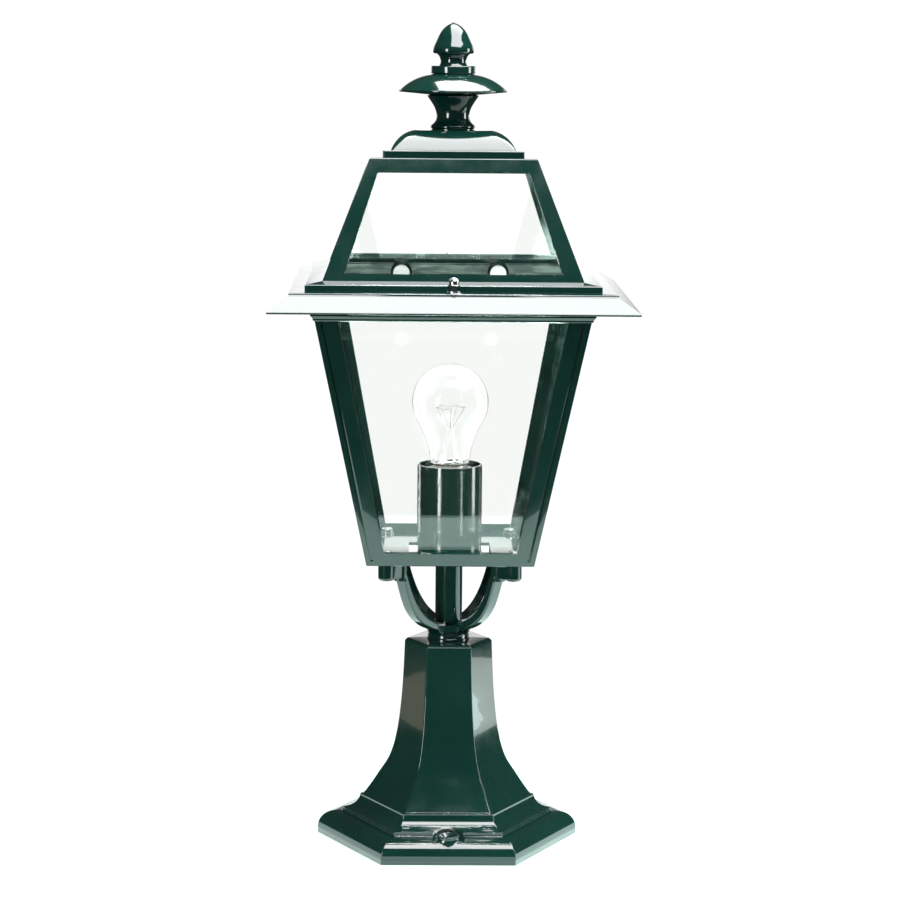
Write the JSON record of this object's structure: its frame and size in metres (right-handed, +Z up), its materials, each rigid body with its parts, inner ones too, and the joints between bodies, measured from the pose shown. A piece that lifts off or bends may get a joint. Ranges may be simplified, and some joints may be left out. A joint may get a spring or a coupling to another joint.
{
  "type": "pedestal lantern",
  "caption": "Square glazed garden lantern on a flared hexagonal pedestal, with a curved yoke, lift-off roof, turned finial and a screw-in bulb.",
  "frame": {"origin": "centre of the pedestal's foot, on the surface it stands on", "axes": "+Z up along the lamp rod, -Y to the front, +X to the right seen from the front"},
  "size_m": [0.2754, 0.2754, 0.6444],
  "materials": {
    "green_paint": "gloss",
    "zinc": "satin",
    "stainless": "satin",
    "polished_steel": "polished",
    "aluminium": "satin",
    "glass": "clear",
    "gasket_rubber": "matte",
    "white_nylon": "satin",
    "porcelain": "gloss",
    "brass": "satin",
    "lead_sheath": "satin",
    "terminal_plastic": "satin",
    "bulb_glass": "clear",
    "bulb_cap": "satin",
    "black_glass": "gloss",
    "solder": "satin",
    "filament": "satin"
  },
  "bodies": {
    "stand": {"pedestal": "green_paint", "neck_collar": "green_paint", "stem_tube": "green_paint", "threaded_rod": "zinc", "rod_nut_lower": "zinc", "rod_washer_lower": "zinc", "rod_nut_upper": "zinc", "yoke": "green_paint", "yoke_screws": "stainless", "yoke_screw_washers": "stainless", "body_frame": "green_paint", "floor_plate": "green_paint", "body_pane_front": "glass", "body_pane_right": "glass", "body_pane_rear": "glass", "body_pane_left": "glass", "body_pane_clips": "aluminium", "body_clip_screws": "stainless", "roof_gasket": "gasket_rubber", "roof_studs": "stainless", "lamp_sleeve": "green_paint", "lampholder_body": "porcelain", "lampholder_shell": "brass", "lampholder_contact": "brass", "inner_lead": "lead_sheath", "terminal_block": "terminal_plastic", "terminal_screws": "brass", "earth_screw": "brass", "earth_tag": "brass"},
    "roof": {"roof_casting": "green_paint", "roof_pane_front": "glass", "roof_pane_right": "glass", "roof_pane_rear": "glass", "roof_pane_left": "glass", "roof_pane_clips": "aluminium", "roof_clip_screws": "stainless", "breather_plugs": "white_nylon", "crown": "green_paint", "finial_spindle": "green_paint", "finial_disc": "green_paint", "finial_bud": "green_paint", "finial_rod": "zinc", "finial_washer": "zinc", "finial_nut": "zinc"},
    "washer_front": {"cap_nut_washer_front": "stainless"},
    "nut_front": {"cap_nut_front": "polished_steel"},
    "washer_rear": {"cap_nut_washer_rear": "stainless"},
    "nut_rear": {"cap_nut_rear": "polished_steel"},
    "bulb_tip": {"bulb_tip": "solder"},
    "bulb": {"bulb_glass": "bulb_glass", "bulb_cap": "bulb_cap", "bulb_insulator": "black_glass", "bulb_stem": "bulb_glass", "bulb_filament": "filament"}
  },
  "joints": [
    {"name": "roof_lift", "type": "slide", "parent": "stand", "child": "roof", "axis": [0, 0, 1], "range_m": [0, 0.26]},
    {"name": "front_nut_travel", "type": "slide", "parent": "roof", "child": "washer_front", "axis": [0, 0, 1], "range_m": [0, 0.008]},
    {"name": "front_nut_turn", "type": "hinge", "parent": "washer_front", "child": "nut_front", "pos_m": [0, -0.117, 0.45], "axis": [0, 0, 1], "range_deg": [0, 3605]},
    {"name": "rear_nut_travel", "type": "slide", "parent": "roof", "child": "washer_rear", "axis": [0, 0, 1], "range_m": [0, 0.008]},
    {"name": "rear_nut_turn", "type": "hinge", "parent": "washer_rear", "child": "nut_rear", "pos_m": [0, 0.117, 0.45], "axis": [0, 0, 1], "range_deg": [0, 3605]},
    {"name": "bulb_travel", "type": "slide", "parent": "stand", "child": "bulb_tip", "axis": [0, 0, 1], "range_m": [0, 0.02561]},
    {"name": "bulb_turn", "type": "hinge", "parent": "bulb_tip", "child": "bulb", "pos_m": [0, 0, 0.29], "axis": [0, 0, 1], "range_deg": [0, 2520]}
  ],
  "couplings": [
    {"joint": "front_nut_turn", "follows": "front_nut_travel", "rad_per_m": 7854},
    {"joint": "rear_nut_turn", "follows": "rear_nut_travel", "rad_per_m": 7854},
    {"joint": "bulb_travel", "follows": "bulb_turn", "m_per_rad": 0.00057773}
  ]
}
